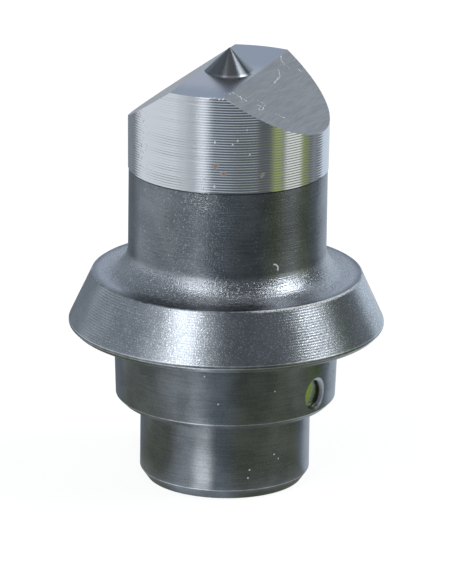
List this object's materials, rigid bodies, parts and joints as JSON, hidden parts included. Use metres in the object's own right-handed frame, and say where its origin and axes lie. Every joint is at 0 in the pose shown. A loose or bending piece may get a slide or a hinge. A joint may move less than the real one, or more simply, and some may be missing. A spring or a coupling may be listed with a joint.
{
  "type": "piercing punch",
  "caption": "Turned steel piercing punch with a roof-ground cutting tip, a centring pip, a conical clamping flange and a stepped shank.",
  "frame": {"origin": "centre of the flat back face of the spigot, on which the punch stands", "axes": "+Z along the turned axis towards the cutting tip; Y along the flat strip of the roof; +X and -X towards the ground facets"},
  "size_m": [0.0408, 0.0408, 0.0574],
  "materials": {
    "tool_steel": "bright turned and ground on the cutting tip, dull grey and faintly grained on the body, flange and shank"
  },
  "bodies": {
    "root": {"punch": "tool_steel"}
  },
  "joints": []
}
